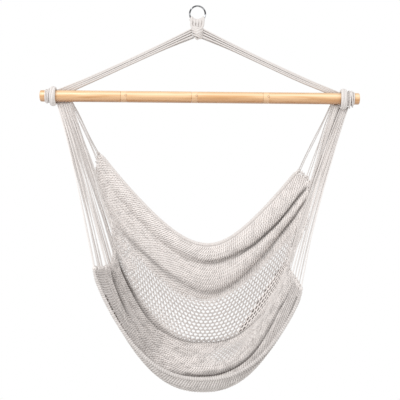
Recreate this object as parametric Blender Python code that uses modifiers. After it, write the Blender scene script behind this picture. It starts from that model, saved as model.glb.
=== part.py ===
"""Hanging rope hammock chair: a steel ring, a gathering knot, suspension cords, a take-down
spreader bar, end loops, two fans of strings and a hung net seat. Metres, +Z up. The origin is
where a hook bears on the inner top of the ring. The bar lies along X and the sitter faces -Y."""

import math

import bmesh
import bpy
import numpy as np
from mathutils import Matrix, Vector

COLLECTION = "rope_hammock"

# ---- clearances ----
GAP = 0.0003  # between rigid faces that touch
CORD_GAP = 0.0008  # between soft pieces that touch
HEM_GAP = 0.002  # between the net's border and the cord beside it
TURNING_GAP = 0.0005  # between a loop and what turns in it

# ---- hanging ring, hitch and knot ----
RING_INNER_DIAMETER = 0.044
RING_WIRE = 0.005
HITCH_WALL = 0.0045  # cord laid round the ring's wire
HITCH_HALF_ANGLE = math.radians(55)
KNOT_DIAMETER = 0.035
NECK_GAP = 0.002  # from the hitch down to the top of the knot's neck
KNOT_HEIGHT = 0.048
NECK_DIAMETER = 0.024
NECK_HEIGHT = 0.012

# ---- suspension cords ----
CORDS_PER_SIDE = 4
SUSPENSION_CORD = 0.005
SUSPENSION_ROOM = 0.0045  # clear between neighbours where they leave the knot
SUSPENSION_REST_ROOM = 0.003  # clear between neighbours where they lie on the bar
SUSPENSION_DROP = 0.014  # from the knot's shoulder to the middle of the cords
SUSPENSION_SAG = 0.006

# ---- spreader bar ----
BAR_LENGTH = 1.0
BAR_DIAMETER = 0.036
BAR_CENTRE = Vector((0.007, 0.0, -0.2835))
BAR_TILT = math.radians(0.55)  # the right end hangs lower
BAR_END_RADIUS = 0.005
SECTION_LENGTHS = (0.253, 0.2215, 0.2235)  # the fourth takes what is left
STUD_DIAMETER = 0.016
SOCKET_DEPTH = 0.032
SEAM_CHAMFER = 0.0007
BAND_WIDTH = 0.019  # from a seam to the turned groove beside it
GROOVE_DEPTH = 0.0006
PIN_DIAMETER = 0.004
PIN_OFFSET = 0.0135  # from a seam to its cross pin

# ---- loops on the bar's ends, from the end inwards: (left, right) ----
END_REVEAL = 0.017
HITCH_WIDTHS = (0.014, 0.0225)
HITCH_CORD = (0.003, 0.0085)  # how far each outer hitch stands off the wood
EYE_WIDTHS = (0.019, 0.0205)
EYE_CORD = (0.0135, 0.0150)

# ---- fans of strings ----
STRINGS_PER_SIDE = 11
STRING = 0.0032
STRING_ROOM = 0.0012  # clear between neighbours along the bar

# ---- net seat ----
SEAT_WIDTH = 0.62
SEAT_DEPTH = 0.33
SEAT_BACK = 0.125  # how far the back rim hangs behind the bar
SEAT_TOP = -0.455  # height of the left back corner
SEAT_HEIGHT = 0.714  # from that corner to the underside
NET_THICKNESS = 0.008
NET_COLUMNS = 36
NET_ROWS = 24
ROLL_DEPTH = 0.016  # how far each roll of the backrest stands forward
HEM_CORD = 0.007
HEM_CORNER = 0.025  # share of an edge that each side cord leaves free at a corner

# Where the seat hangs. Each point is (share of half the width, share of the depth from the
# back, share of the height from the top).
LEFT_EDGE = (
    (1.034, 0.00, 0.000), (1.046, 0.03, 0.110), (0.980, 0.06, 0.210), (0.890, 0.12, 0.319),
    (0.858, 0.24, 0.437), (0.854, 0.39, 0.491), (0.903, 0.70, 0.503), (0.974, 1.00, 0.497),
)
RIGHT_EDGE = (
    (1.047, 0.000, 0.082), (1.150, 0.015, 0.119), (1.160, 0.06, 0.192), (1.113, 0.15, 0.322),
    (0.974, 0.30, 0.440), (0.905, 0.485, 0.505), (0.939, 0.73, 0.548), (0.977, 1.00, 0.583),
)
MIDDLE = (
    (0.110, 0.000, 0.416), (0.110, 0.015, 0.493), (0.100, 0.03, 0.634), (0.080, 0.09, 0.742),
    (0.065, 0.212, 0.840), (0.058, 0.515, 0.906), (0.055, 0.758, 0.973), (0.054, 0.894, 0.999),
    (0.054, 0.985, 0.980), (0.054, 1.000, 0.941),
)


# ---------------------------------------------------------------- scene and materials

def clear_scene():
    for obj in list(bpy.data.objects):
        bpy.data.objects.remove(obj, do_unlink=True)


def new_collection(name, hidden=False):
    collection = bpy.data.collections.new(name)
    bpy.context.scene.collection.children.link(collection)
    collection.hide_render = hidden
    return collection


def material(name, color, roughness, metallic=0.0):
    made = bpy.data.materials.new(name)
    made.use_nodes = True
    shader = made.node_tree.nodes["Principled BSDF"]
    shader.inputs["Base Color"].default_value = (*color, 1.0)
    shader.inputs["Roughness"].default_value = roughness
    shader.inputs["Metallic"].default_value = metallic
    return made


def steel(name):
    return material(name, (0.62, 0.62, 0.63), 0.22, 1.0)


def pine(name):
    return material(name, (0.78, 0.56, 0.33), 0.45)


def cotton(name):
    return material(name, (0.80, 0.75, 0.70), 0.9)


def put(obj, surface, parent=None):
    """Links an object into the part's collection, with its material and its parent."""
    for collection in list(obj.users_collection):
        collection.objects.unlink(obj)
    PARTS.objects.link(obj)
    obj.data.materials.clear()
    obj.data.materials.append(surface(obj.name))
    obj.parent = parent
    return obj


def empty(name, location, rotation=(0, 0, 0), parent=None):
    made = bpy.data.objects.new(name, None)
    made.empty_display_size = 0.02
    made.location = location
    made.rotation_euler = rotation
    made.parent = parent
    PARTS.objects.link(made)
    return made


# ---------------------------------------------------------------- shape helpers

def turned(name, profile, surface, parent, steps=24, closed=False, turn=(0, 0, 0)):
    """A solid of revolution about its own Z: the profile is (radius, height), top to bottom."""
    mesh = bpy.data.meshes.new(name)
    edges = [(i, i + 1) for i in range(len(profile) - 1)]
    if closed:
        edges.append((len(profile) - 1, 0))
    mesh.from_pydata([(radius, 0.0, height) for radius, height in profile], edges, [])
    obj = put(bpy.data.objects.new(name, mesh), surface, parent)
    obj.rotation_euler = turn
    screw = obj.modifiers.new("Turn", "SCREW")
    screw.axis = "Z"
    screw.steps = screw.render_steps = steps
    screw.use_merge_vertices = True
    screw.merge_threshold = 0.00005
    screw.use_smooth_shade = True
    return obj


def tube(name, points, diameter, surface=None, parent=None):
    """A round cord through the points, with closed ends."""
    curve = bpy.data.curves.new(name, "CURVE")
    curve.dimensions = "3D"
    curve.bevel_depth = diameter / 2
    curve.bevel_resolution = 2
    curve.use_fill_caps = True
    spline = curve.splines.new("POLY")
    spline.points.add(len(points) - 1)
    for target, point in zip(spline.points, points):
        target.co = (*point, 1.0)
    obj = bpy.data.objects.new(name, curve)
    if surface:
        return put(obj, surface, parent)
    CUTTERS.objects.link(obj)
    return obj


def as_mesh(curve_object, name):
    """The same solid as a mesh with welded caps. The curve goes."""
    bpy.context.view_layer.update()
    graph = bpy.context.evaluated_depsgraph_get()
    mesh = bpy.data.meshes.new_from_object(curve_object.evaluated_get(graph))
    work = bmesh.new()
    work.from_mesh(mesh)
    bmesh.ops.remove_doubles(work, verts=work.verts, dist=0.00001)
    bmesh.ops.recalc_face_normals(work, faces=work.faces)
    work.to_mesh(mesh)
    work.free()
    obj = bpy.data.objects.new(name, mesh)
    obj.matrix_world = curve_object.matrix_world
    bpy.data.objects.remove(curve_object, do_unlink=True)
    return obj


def as_cutter(obj):
    for collection in list(obj.users_collection):
        collection.objects.unlink(obj)
    CUTTERS.objects.link(obj)
    obj.hide_render = True
    obj.display_type = "WIRE"
    return obj


def cut(obj, cutter):
    boolean = obj.modifiers.new("Cut " + cutter.name, "BOOLEAN")
    boolean.operation = "DIFFERENCE"
    boolean.object = cutter


def through_points(points, shares):
    """Places on one smooth curve through the points, at shares of its length from 0 to 1."""
    points = np.asarray(points, float)
    padded = np.vstack([2 * points[0] - points[1], points, 2 * points[-1] - points[-2]])
    steps = np.linspace(0, 1, 40, endpoint=False)[:, None]
    dense = []
    for p0, p1, p2, p3 in zip(padded, padded[1:], padded[2:], padded[3:]):
        dense.append(0.5 * (2 * p1 + (p2 - p0) * steps + (2 * p0 - 5 * p1 + 4 * p2 - p3) * steps**2
                            + (3 * p1 - p0 - 3 * p2 + p3) * steps**3))
    dense = np.vstack(dense + [points[-1:]])
    run = np.concatenate([[0], np.cumsum(np.linalg.norm(np.diff(dense, axis=0), axis=1))])
    places = np.asarray(shares, float) * run[-1]
    return np.stack([np.interp(places, run, dense[:, k]) for k in range(3)], axis=-1)


def eased(value, low, high):
    t = np.clip((value - low) / (high - low), 0, 1)
    return t * t * (3 - 2 * t)


# ---------------------------------------------------------------- ring, hitch and knot

RING_RADIUS = (RING_INNER_DIAMETER + RING_WIRE) / 2  # of the wire's centre line
RING_CENTRE = Vector((0, 0, -RING_INNER_DIAMETER / 2))
KNOT_TOP_DROP = RING_INNER_DIAMETER + RING_WIRE + TURNING_GAP + HITCH_WALL + NECK_GAP


def make_ring():
    bpy.ops.mesh.primitive_torus_add(
        major_radius=RING_RADIUS, minor_radius=RING_WIRE / 2, major_segments=36,
        minor_segments=8, location=RING_CENTRE, rotation=(math.pi / 2, 0, 0),
    )
    ring = bpy.context.object
    ring.name = "hanging_ring"
    ring.data.shade_smooth()
    put(ring, steel)


def make_ring_hitch(sway_axis):
    """Cord loops lying side by side round the lower half of the ring's wire."""
    angles = np.linspace(-HITCH_HALF_ANGLE, HITCH_HALF_ANGLE, 15)
    arc = [(RING_RADIUS * math.sin(a), 0, -RING_RADIUS * math.cos(a)) for a in angles]
    bore = RING_WIRE / 2 + TURNING_GAP
    hitch = as_mesh(tube("hitch_arc", arc, 2 * (bore + HITCH_WALL)), "ring_hitch")
    put(hitch, cotton, sway_axis)
    bpy.ops.mesh.primitive_torus_add(
        major_radius=RING_RADIUS, minor_radius=bore, major_segments=36, minor_segments=8,
        location=RING_CENTRE, rotation=(math.pi / 2, 0, 0),
    )
    bore_cutter = bpy.context.object
    bore_cutter.name = "hitch_bore"
    cut(hitch, as_cutter(bore_cutter))


def make_knot(swing_axis, hinge_height):
    top = -KNOT_TOP_DROP - hinge_height
    r, h = KNOT_DIAMETER / 2, KNOT_HEIGHT
    neck = NECK_DIAMETER / 2
    profile = [
        (0, top), (neck * 0.9, top), (neck, top - 0.002), (neck, top - NECK_HEIGHT * 0.7),
        (r * 0.93, top - NECK_HEIGHT * 1.1), (r, top - NECK_HEIGHT * 1.4), (r, top - h + 0.008),
        (r * 0.85, top - h + 0.003), (r * 0.5, top - h + 0.0006), (0, top - h),
    ]
    turned("gathering_knot", profile, cotton, swing_axis, steps=24)


# ---------------------------------------------------------------- spreader bar

def along_bar(station, out=0.0, angle=0.0):
    """A place near the bar: station from its middle, at a distance from its axis. Angle 0 is
    straight up and turns towards the front."""
    side = Vector((0, -math.sin(angle), math.cos(angle))) * out
    return BAR_CENTRE + Matrix.Rotation(BAR_TILT, 3, "Y") @ (Vector((station, 0, 0)) + side)


def seam_stations():
    return [-BAR_LENGTH / 2 + sum(SECTION_LENGTHS[:n + 1]) for n in range(len(SECTION_LENGTHS))]


def bar_end(sign):
    """The rounded outer end of the bar, as (radius, station) from the axis outwards."""
    r, end, round_off = BAR_DIAMETER / 2, BAR_LENGTH / 2, BAR_END_RADIUS
    corner = [(r - round_off + round_off * math.sin(a), end - round_off + round_off * math.cos(a))
              for a in np.linspace(0, math.pi / 2, 5)]
    return [(radius, sign * station) for radius, station in [(0, end)] + corner]


def socket_end(station, sign):
    """An end with a socket for a stud, as (radius, station) from the axis outwards. Sign is the
    way that the end faces."""
    r, bore = BAR_DIAMETER / 2, STUD_DIAMETER / 2 + GAP
    face = station - sign * GAP / 2
    floor = station - sign * SOCKET_DEPTH
    return [(0, floor), (bore, floor), (bore, face), (r - SEAM_CHAMFER, face),
            (r, face - sign * SEAM_CHAMFER)]


def make_bar(bar_axis):
    seams = seam_stations()
    lay = (0, math.pi / 2, 0)  # a turned piece's own Z goes along the bar
    r = BAR_DIAMETER / 2
    for n in range(len(seams) + 1):
        top = socket_end(seams[n], 1) if n < len(seams) else bar_end(1)
        bottom = socket_end(seams[n - 1], -1) if n else bar_end(-1)
        groove = []
        if n:
            middle = seams[n - 1] + BAND_WIDTH
            half = GROOVE_DEPTH
            groove = [(r, middle + half), (r - GROOVE_DEPTH, middle), (r, middle - half)]
        section = turned(f"bar_section_{n + 1}", top + groove + bottom[::-1], pine, bar_axis, turn=lay)
        if n:
            cut(section, pin_cutter(n, seams[n - 1], bar_axis))
    for n, seam in enumerate(seams, 1):
        reach, stud_r = SOCKET_DEPTH - GAP, STUD_DIAMETER / 2
        ends = [(0, seam + reach), (stud_r, seam + reach), (stud_r, seam - reach), (0, seam - reach)]
        stud = turned(f"bar_stud_{n}", ends, pine, bar_axis, steps=20, turn=lay)
        cut(stud, pin_cutter(n, seam, bar_axis, "stud"))
        pin = rod(f"bar_pin_{n}", PIN_DIAMETER / 2, BAR_DIAMETER - 2 * GAP, seam + PIN_OFFSET)
        put(pin, steel, bar_axis)


def rod(name, radius, length, station):
    """A cylinder across the bar, front to back, in the bar's own frame."""
    mesh = bpy.data.meshes.new(name)
    work = bmesh.new()
    bmesh.ops.create_cone(work, cap_ends=True, segments=12, radius1=radius, radius2=radius,
                          depth=length, matrix=Matrix.Rotation(math.pi / 2, 4, "X"))
    work.to_mesh(mesh)
    work.free()
    obj = bpy.data.objects.new(name, mesh)
    obj.location = (station, 0, 0)
    return obj


def pin_cutter(number, seam, bar_axis, kind="section"):
    cutter = rod(f"pin_hole_{kind}_{number}", PIN_DIAMETER / 2 + GAP, BAR_DIAMETER * 1.5,
                 seam + PIN_OFFSET)
    as_cutter(cutter)
    cutter.parent = bar_axis
    return cutter


# ---------------------------------------------------------------- loops on the bar

def loop_profile(inner, thickness, low, high, sides=10):
    """The rounded section of a cord loop, closed, from its top round its outer side."""
    middle, half_w = (low + high) / 2, (high - low) / 2
    centre, half_h = inner + thickness / 2, thickness / 2
    angles = [math.pi / 2 - 2 * math.pi * k / sides for k in range(sides)]
    power = 0.75
    shape = lambda t: math.copysign(abs(t) ** power, t)
    return [(centre + half_h * shape(math.cos(a)), middle + half_w * shape(math.sin(a)))
            for a in angles]


def loop_stations(side):
    """Where a side's loops lie: (hitch outer, hitch inner, eye outer, eye inner)."""
    k = 0 if side < 0 else 1
    hitch_outer = BAR_LENGTH / 2 - END_REVEAL
    hitch_inner = hitch_outer - HITCH_WIDTHS[k]
    eye_outer = hitch_inner - TURNING_GAP
    return hitch_outer, hitch_inner, eye_outer, eye_outer - EYE_WIDTHS[k]


def make_loops(side, word, bar_axis):
    k = 0 if side < 0 else 1
    hitch_outer, hitch_inner, eye_outer, eye_inner = loop_stations(side)
    inner = BAR_DIAMETER / 2 + TURNING_GAP
    lay = (0, math.pi / 2, 0)
    for name, thick, a, b in (
        (f"bar_hitch_{word}", HITCH_CORD[k], hitch_inner, hitch_outer),
        (f"eye_loop_{word}", EYE_CORD[k], eye_inner, eye_outer),
    ):
        low, high = sorted((side * a, side * b))
        turned(name, loop_profile(inner, thick, low, high), cotton, bar_axis, closed=True, turn=lay)


def make_suspension(side, word, yoke_frame):
    """Cords from the knot's side to the top of the bar, just inside the eye loop."""
    eye_inner = loop_stations(side)[3]
    mid = (CORDS_PER_SIDE - 1) / 2
    start_x = side * (KNOT_DIAMETER / 2 + CORD_GAP + SUSPENSION_CORD / 4)
    knot_middle = -(KNOT_TOP_DROP + NECK_HEIGHT * 1.4 + SUSPENSION_DROP)
    pitch = SUSPENSION_CORD + SUSPENSION_ROOM
    spread = SUSPENSION_CORD + SUSPENSION_REST_ROOM
    rest_out = BAR_DIAMETER / 2 + SUSPENSION_CORD / 2 + 2 * CORD_GAP
    for n in range(CORDS_PER_SIDE):
        step = n - mid
        start = Vector((start_x, -step * SUSPENSION_CORD / 2, knot_middle - step * pitch))
        lean = math.asin(step * spread / rest_out)
        station = side * (eye_inner - SUSPENSION_CORD - CORD_GAP)
        end = along_bar(station, rest_out, lean)
        points = []
        for t in np.linspace(0, 1, 7):
            sag = 4 * t * (1 - t) * SUSPENSION_SAG
            points.append(start.lerp(end, t) - Vector((0, 0, sag)) - yoke_frame.location)
        tube(f"suspension_cord_{word}_{n + 1}", points, SUSPENSION_CORD, cotton, yoke_frame)


# ---------------------------------------------------------------- net seat

def seat_point(share, side):
    across, back, down = share
    return (side * across * SEAT_WIDTH / 2, SEAT_BACK - back * SEAT_DEPTH,
            SEAT_TOP - down * SEAT_HEIGHT)


def seat_rows(shares):
    """The left end, the middle and the right end of the rows at shares of the way from the
    back rim (0) to the front rim (1)."""
    curves = [[seat_point(p, -1) for p in LEFT_EDGE], [seat_point(p, 1) for p in MIDDLE],
              [seat_point(p, 1) for p in RIGHT_EDGE]]
    return [through_points(curve, shares) for curve in curves]


def hang(across, row):
    """How far up a row has climbed, 0 in its middle and 1 at its ends. Rows at the back hang
    like a V with a soft point, and rows at the front like a deep round bowl."""
    a = np.abs(across)
    soft = 0.5
    veed = (np.sqrt(a**2 + soft**2) - soft) / (math.sqrt(1 + soft**2) - soft)
    bowl = 0.8 * a**2.4 + 0.2 * (1 - np.sqrt(np.maximum(1 - a**2, 0)))
    mix = eased(row, 0.28, 0.52)
    return veed * (1 - mix) + bowl * mix


def roll(across, row):
    """The two rolls of the backrest: how far each place stands forward, from 0 to 1."""
    first = 0.10 + 0.035 * np.maximum(across, 0)
    second = 0.27 - 0.10 * np.maximum(across, 0) + 0.12 * np.maximum(-across, 0)
    upper = np.sin(np.pi * np.clip(row / first, 0, 1))
    lower = np.sin(np.pi * np.clip((row - first) / (second - first), 0, 1))
    return np.maximum(upper, lower) * (1 - eased(np.abs(across), 0.75, 1.0))


def net_surface(across, row):
    """The net's middle surface at across (-1 left to 1 right) and row (0 back to 1 front)."""
    across, row = np.broadcast_arrays(np.asarray(across, float), np.asarray(row, float))
    flat = np.unique(row)
    left, middle, right = [curve[np.searchsorted(flat, row)] for curve in seat_rows(flat)]
    end = np.where(across[..., None] < 0, left, right)
    reach = np.stack([np.abs(across), across**2, hang(across, row)], axis=-1)
    place = middle + (end - middle) * reach
    place[..., 1] -= ROLL_DEPTH * roll(across, row)
    return place


def make_net(seat_frame):
    work = bmesh.new()
    bmesh.ops.create_grid(work, x_segments=NET_COLUMNS, y_segments=NET_ROWS, size=1)
    verts = list(work.verts)
    grid = np.array([v.co for v in verts])
    across = np.round(grid[:, 0], 6)
    row = np.round((1 - grid[:, 1]) / 2, 6)
    places = net_surface(across, row) - np.array(seat_frame.location)
    for vert, place in zip(verts, places):
        vert.co = place
    mesh = bpy.data.meshes.new("seat_net")
    work.to_mesh(mesh)
    work.free()
    mesh.shade_smooth()
    net = put(bpy.data.objects.new("seat_net", mesh), cotton, seat_frame)
    wall = net.modifiers.new("Thickness", "SOLIDIFY")
    wall.thickness = NET_THICKNESS
    wall.offset = 0.0
    wall.use_even_offset = True


def beyond(across, row, away_across, away_row, distance):
    """A place past the net's border, in the net's own plane there."""
    here = net_surface(across, row)
    inside = net_surface(across - away_across * 2 / NET_COLUMNS, row - away_row / NET_ROWS)
    on_across, on_row = abs(away_row) * 2 / NET_COLUMNS, abs(away_across) / NET_ROWS
    ahead = net_surface(min(across + on_across, 1), min(row + on_row, 1))
    behind = net_surface(max(across - on_across, -1), max(row - on_row, 0))
    border = (ahead - behind) / np.linalg.norm(ahead - behind)
    out = here - inside
    out = out - border * np.dot(out, border)
    return here + out / np.linalg.norm(out) * distance


def hem_offset():
    return HEM_CORD / 2 + HEM_GAP


def side_cord_place(side, row):
    return beyond(side, row, side, 0, hem_offset())


def make_hems(seat_frame):
    origin = np.array(seat_frame.location)
    columns = np.linspace(-1, 1, NET_COLUMNS + 1)
    back = [beyond(a, 0.0, 0, -1, hem_offset()) - origin for a in columns]
    front = [beyond(a, 1.0, 0, 1, hem_offset()) - origin for a in columns]
    tube("back_hem_cord", back, HEM_CORD, cotton, seat_frame)
    tube("front_hem_cord", front, HEM_CORD, cotton, seat_frame)
    rows = np.linspace(HEM_CORNER, 1 - HEM_CORNER, NET_ROWS + 1)
    for side, word in ((-1, "left"), (1, "right")):
        points = [side_cord_place(side, row) - origin for row in rows]
        tube(f"{word}_edge_cord", points, HEM_CORD, cotton, seat_frame)


def make_strings(side, word, seat_frame):
    """A fan from the underside of the bar to the side cord. The front strings start outermost."""
    origin = Vector(seat_frame.location)
    eye_inner = loop_stations(side)[3]
    rest_out = BAR_DIAMETER / 2 + STRING / 2 + CORD_GAP
    reach = (HEM_CORD + STRING) / 2 + CORD_GAP
    rows = np.linspace(HEM_CORNER * 1.6, 1 - HEM_CORNER * 1.6, STRINGS_PER_SIDE)
    for n, row in enumerate(rows):
        station = side * (eye_inner - STRING - (STRINGS_PER_SIDE - 1 - n) * (STRING + STRING_ROOM))
        start = along_bar(station, rest_out, math.pi)
        place = Vector(side_cord_place(side, row))
        cord_way = (Vector(side_cord_place(side, row + 0.01)) - place).normalized()
        way = (start - place).normalized()
        slant = way.cross(cord_way).length
        end = place + way * (reach / slant)
        points = [start.lerp(end, t) - origin for t in np.linspace(0, 1, 4)]
        tube(f"fan_string_{word}_{n + 1:02d}", points, STRING, cotton, seat_frame)


# ---------------------------------------------------------------- the whole chair

clear_scene()
PARTS = new_collection(COLLECTION)
CUTTERS = new_collection("cutters", hidden=True)

sway_frame = empty("ring_sway_axis", RING_CENTRE)
hinge_height = RING_CENTRE.z - RING_RADIUS
swing_frame = empty("hitch_swing_axis", (0, 0, hinge_height))
yoke_frame = empty("knot_twist_axis", (0, 0, hinge_height))
bar_frame = empty("bar_axis", BAR_CENTRE, (0, BAR_TILT, 0))
seat_frame = empty("seat_swing_axis", BAR_CENTRE)

make_ring()
make_ring_hitch(sway_frame)
make_knot(swing_frame, hinge_height)
make_bar(bar_frame)
for side_sign, side_word in ((-1, "left"), (1, "right")):
    make_suspension(side_sign, side_word, yoke_frame)
    make_loops(side_sign, side_word, bar_frame)
    make_strings(side_sign, side_word, seat_frame)
make_net(seat_frame)
make_hems(seat_frame)
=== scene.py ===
"""Looks of the hanging rope hammock chair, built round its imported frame. Metres, +Z up. The
origin is the ring's inner top, the bar lies along X and the sitter faces -Y."""

import math

import bpy
import numpy as np
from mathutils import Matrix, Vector


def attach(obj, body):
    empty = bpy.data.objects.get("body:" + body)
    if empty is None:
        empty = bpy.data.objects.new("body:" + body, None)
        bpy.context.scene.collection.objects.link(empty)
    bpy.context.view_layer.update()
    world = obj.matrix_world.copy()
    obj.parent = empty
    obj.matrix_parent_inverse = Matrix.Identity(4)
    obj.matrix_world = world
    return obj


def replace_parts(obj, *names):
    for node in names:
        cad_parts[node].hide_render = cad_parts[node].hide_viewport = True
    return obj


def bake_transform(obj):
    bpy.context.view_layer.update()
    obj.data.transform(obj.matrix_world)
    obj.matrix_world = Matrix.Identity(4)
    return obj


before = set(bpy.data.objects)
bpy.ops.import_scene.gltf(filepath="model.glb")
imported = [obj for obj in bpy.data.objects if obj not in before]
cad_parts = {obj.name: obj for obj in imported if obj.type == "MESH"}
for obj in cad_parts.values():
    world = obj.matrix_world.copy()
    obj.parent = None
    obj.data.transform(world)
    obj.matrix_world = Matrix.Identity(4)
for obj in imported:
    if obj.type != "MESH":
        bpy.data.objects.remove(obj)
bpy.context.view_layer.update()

# ---- camera and light

LENS, SENSOR = 86.2, 36
SKY_STRENGTH = 0.91
AIM = (0, 0, -0.7)


def placed(name, data):
    """A new object in the scene."""
    obj = bpy.data.objects.new(name, data)
    bpy.context.scene.collection.objects.link(obj)
    return obj


camera = placed("camera", bpy.data.cameras.new("camera"))
camera.location = (0.0078, -3.0, -0.605)
camera.rotation_euler = (math.pi / 2, 0, 0)
camera.data.sensor_width, camera.data.lens = SENSOR, LENS
bpy.context.scene.camera = camera
bpy.context.scene.view_settings.view_transform = "Standard"

# The camera sees a white wall, and the object is lit by a sky that is a little dimmer.
world = bpy.data.worlds.new("studio")
bpy.context.scene.world = world
world.use_nodes = True
nodes, links = world.node_tree.nodes, world.node_tree.links
sky, wall = nodes["Background"], nodes.new("ShaderNodeBackground")
sky.inputs["Color"].default_value = (1.0, 0.995, 0.99, 1)
sky.inputs["Strength"].default_value = SKY_STRENGTH
wall.inputs["Color"].default_value = (1, 1, 1, 1)
wall.inputs["Strength"].default_value = 1.0
which, path = nodes.new("ShaderNodeMixShader"), nodes.new("ShaderNodeLightPath")
links.new(path.outputs["Is Camera Ray"], which.inputs["Fac"])
links.new(sky.outputs[0], which.inputs[1])
links.new(wall.outputs[0], which.inputs[2])
links.new(which.outputs[0], nodes["World Output"].inputs["Surface"])


def lamp(name, place, size, power):
    """A square soft light, aimed at the middle of the seat."""
    light = bpy.data.lights.new(name, "AREA")
    light.size, light.energy = size, power
    obj = placed(name, light)
    obj.location = place
    obj.rotation_euler = (Vector(AIM) - Vector(place)).to_track_quat("-Z", "Y").to_euler()


lamp("key", (-1.6, -2.2, 1.5), 1.6, 46)
lamp("fill", (2.2, -2.4, 0.3), 2.0, 14)
rng = np.random.default_rng(7)


# ---- materials

class Surface:
    """A material, with a short way to add nodes and wire them to one another."""

    def __init__(self, name, color, roughness, metallic=0.0):
        self.material = bpy.data.materials.new(name)
        self.material.use_nodes = True
        self.tree = self.material.node_tree
        self.shader = self.tree.nodes["Principled BSDF"]
        self.set(self.shader, {"Base Color": (*color, 1), "Roughness": roughness,
                               "Metallic": metallic})

    def set(self, made, inputs):
        """Gives each input a value, or wires it to another node's output."""
        for key, value in inputs.items():
            if isinstance(value, bpy.types.NodeSocket):
                self.tree.links.new(value, made.inputs[key])
            else:
                made.inputs[key].default_value = value

    def add(self, kind, inputs=None, out=0, **values):
        """Adds a node and returns one of its outputs."""
        made = self.tree.nodes.new(kind)
        for key, value in values.items():
            setattr(made, key, value)
        self.set(made, inputs or {})
        return made.outputs[out]

    def calc(self, operation, *values):
        return self.add("ShaderNodeMath", dict(enumerate(values)), operation=operation)

    def ramp(self, value, *stops):
        """A colour ramp. The first and the last stop are its ends."""
        made = self.tree.nodes.new("ShaderNodeValToRGB")
        elements = made.color_ramp.elements
        for element, (position, color) in zip(elements, (stops[0], stops[-1])):
            element.position, element.color = position, (*color, 1)
        for position, color in stops[1:-1]:
            elements.new(position).color = (*color, 1)
        self.set(made, {0: value})
        return made.outputs[0]


PLY_PITCH = 0.011  # the length of cord in which its plies turn once
PLIES = 3
FUZZ_SCALE = 260.0
PLY_RELIEF = 0.0006


def rope_material(name, light, dark, groove, relief):
    """Cotton cord. The plies show as slanting grooves, from the length and the turn in the UV
    map, with painted shade in the grooves. The tone attribute darkens it with painted shade in
    folds, gaps and back layers, and varies it at random elsewhere."""
    made = Surface(name, light, 0.92)
    uv = made.add("ShaderNodeUVMap", uv_map="along")
    turn = made.add("ShaderNodeSeparateXYZ", {0: uv}, "X")
    run = turn.node.outputs["Y"]
    slant = made.calc("ADD", made.calc("DIVIDE", run, PLY_PITCH), turn)
    part = made.calc("PINGPONG", made.calc("MULTIPLY", slant, float(PLIES)), 0.5)
    ridge = made.add("ShaderNodeMapRange", {0: part, 1: 0.0, 2: 0.3},
                     interpolation_type="SMOOTHSTEP")
    place = made.add("ShaderNodeTexCoord", out="Object")
    fuzz = made.add("ShaderNodeTexNoise", {"Vector": place, "Scale": FUZZ_SCALE, "Detail": 3.0})
    mottled = made.add("ShaderNodeMapRange", {0: fuzz, 1: 0.3, 2: 0.7, 3: 1 - 0.8 * groove, 4: 1.0})
    # Painted shade: the grooves between the plies are darker, by the share given as groove.
    both = made.calc("MULTIPLY", made.calc("MULTIPLY_ADD", ridge, groove, 1 - groove), mottled)
    tone = made.add("ShaderNodeAttribute", out="Fac", attribute_name="tone")
    color = made.ramp(made.calc("MULTIPLY", both, tone), (0.0, dark), (1.0, light))
    bump = made.add("ShaderNodeBump", {"Strength": relief, "Distance": PLY_RELIEF, "Height": both})
    made.set(made.shader, {"Base Color": color, "Normal": bump, "Sheen Weight": 0.15})
    return made.material


def wood_material(name, pale):
    """Clear-lacquered pine with its grain along X. The tone attribute is 1 on its upper side and
    0 underneath; from it the colour takes painted shade underneath and along the top, and a
    painted highlight on the upper front. Pale is how far it is bleached all over."""
    made = Surface(name, (0.87, 0.6, 0.33), 0.34)
    place = made.add("ShaderNodeTexCoord", out="Object")
    stretched = made.add("ShaderNodeMapping", {
        "Vector": place, "Scale": (2.6, 40.0, 40.0), "Rotation": (0, 0.035, 0.02)})
    grain = made.add("ShaderNodeTexNoise", {
        "Vector": stretched, "Scale": 1.6, "Detail": 4.0, "Distortion": 1.1})
    rings = made.ramp(grain, (0.34, (0.74, 0.45, 0.22)), (0.56, (0.9, 0.64, 0.39)))
    tone = made.add("ShaderNodeAttribute", out="Fac", attribute_name="tone")
    # Painted shade and highlight: darker underneath and along the top, brightest on the upper
    # front.
    painted_shade_and_highlight = made.ramp(tone, (0.04, (0.5, 0.4, 0.36)), (0.16, (0.7, 0.58, 0.5)),
                      (0.4, (0.74, 0.64, 0.54)), (0.54, (0.9, 0.84, 0.77)),
                      (0.72, (1.0, 1.0, 1.0)), (0.82, (0.9, 0.86, 0.8)),
                      (0.96, (0.74, 0.68, 0.62)))
    both = made.add("ShaderNodeMix", {0: 1.0, 6: rings, 7: painted_shade_and_highlight}, 2, data_type="RGBA",
                    blend_type="MULTIPLY")
    # A painted highlight: the long pale streak along the bar's upper front.
    painted_highlight = made.ramp(tone, (0.6, (pale,) * 3), (0.7, (0.62,) * 3), (0.82, (pale,) * 3))
    color = made.add("ShaderNodeMix", {0: painted_highlight, 6: both, 7: (0.95, 0.76, 0.53, 1)}, 2,
                     data_type="RGBA")
    made.set(made.shader, {"Base Color": color, "Coat Weight": 0.35, "Coat Roughness": 0.18})
    return made.material


def chrome_material():
    """Bright metal with a painted reflection: dark patches in its colour stand for the bare room
    that it reflects.
    """
    made = Surface("chrome", (0.4, 0.4, 0.4), 0.14, 1.0)
    place = made.add("ShaderNodeTexCoord", out="Object")
    painted_reflection = made.add("ShaderNodeTexNoise", {"Vector": place, "Scale": 62.0, "Detail": 1.0})
    color = made.ramp(painted_reflection, (0.42, (0.05, 0.052, 0.056)), (0.6, (0.48, 0.49, 0.51)))
    made.set(made.shader, {"Base Color": color})
    return made.material


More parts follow.
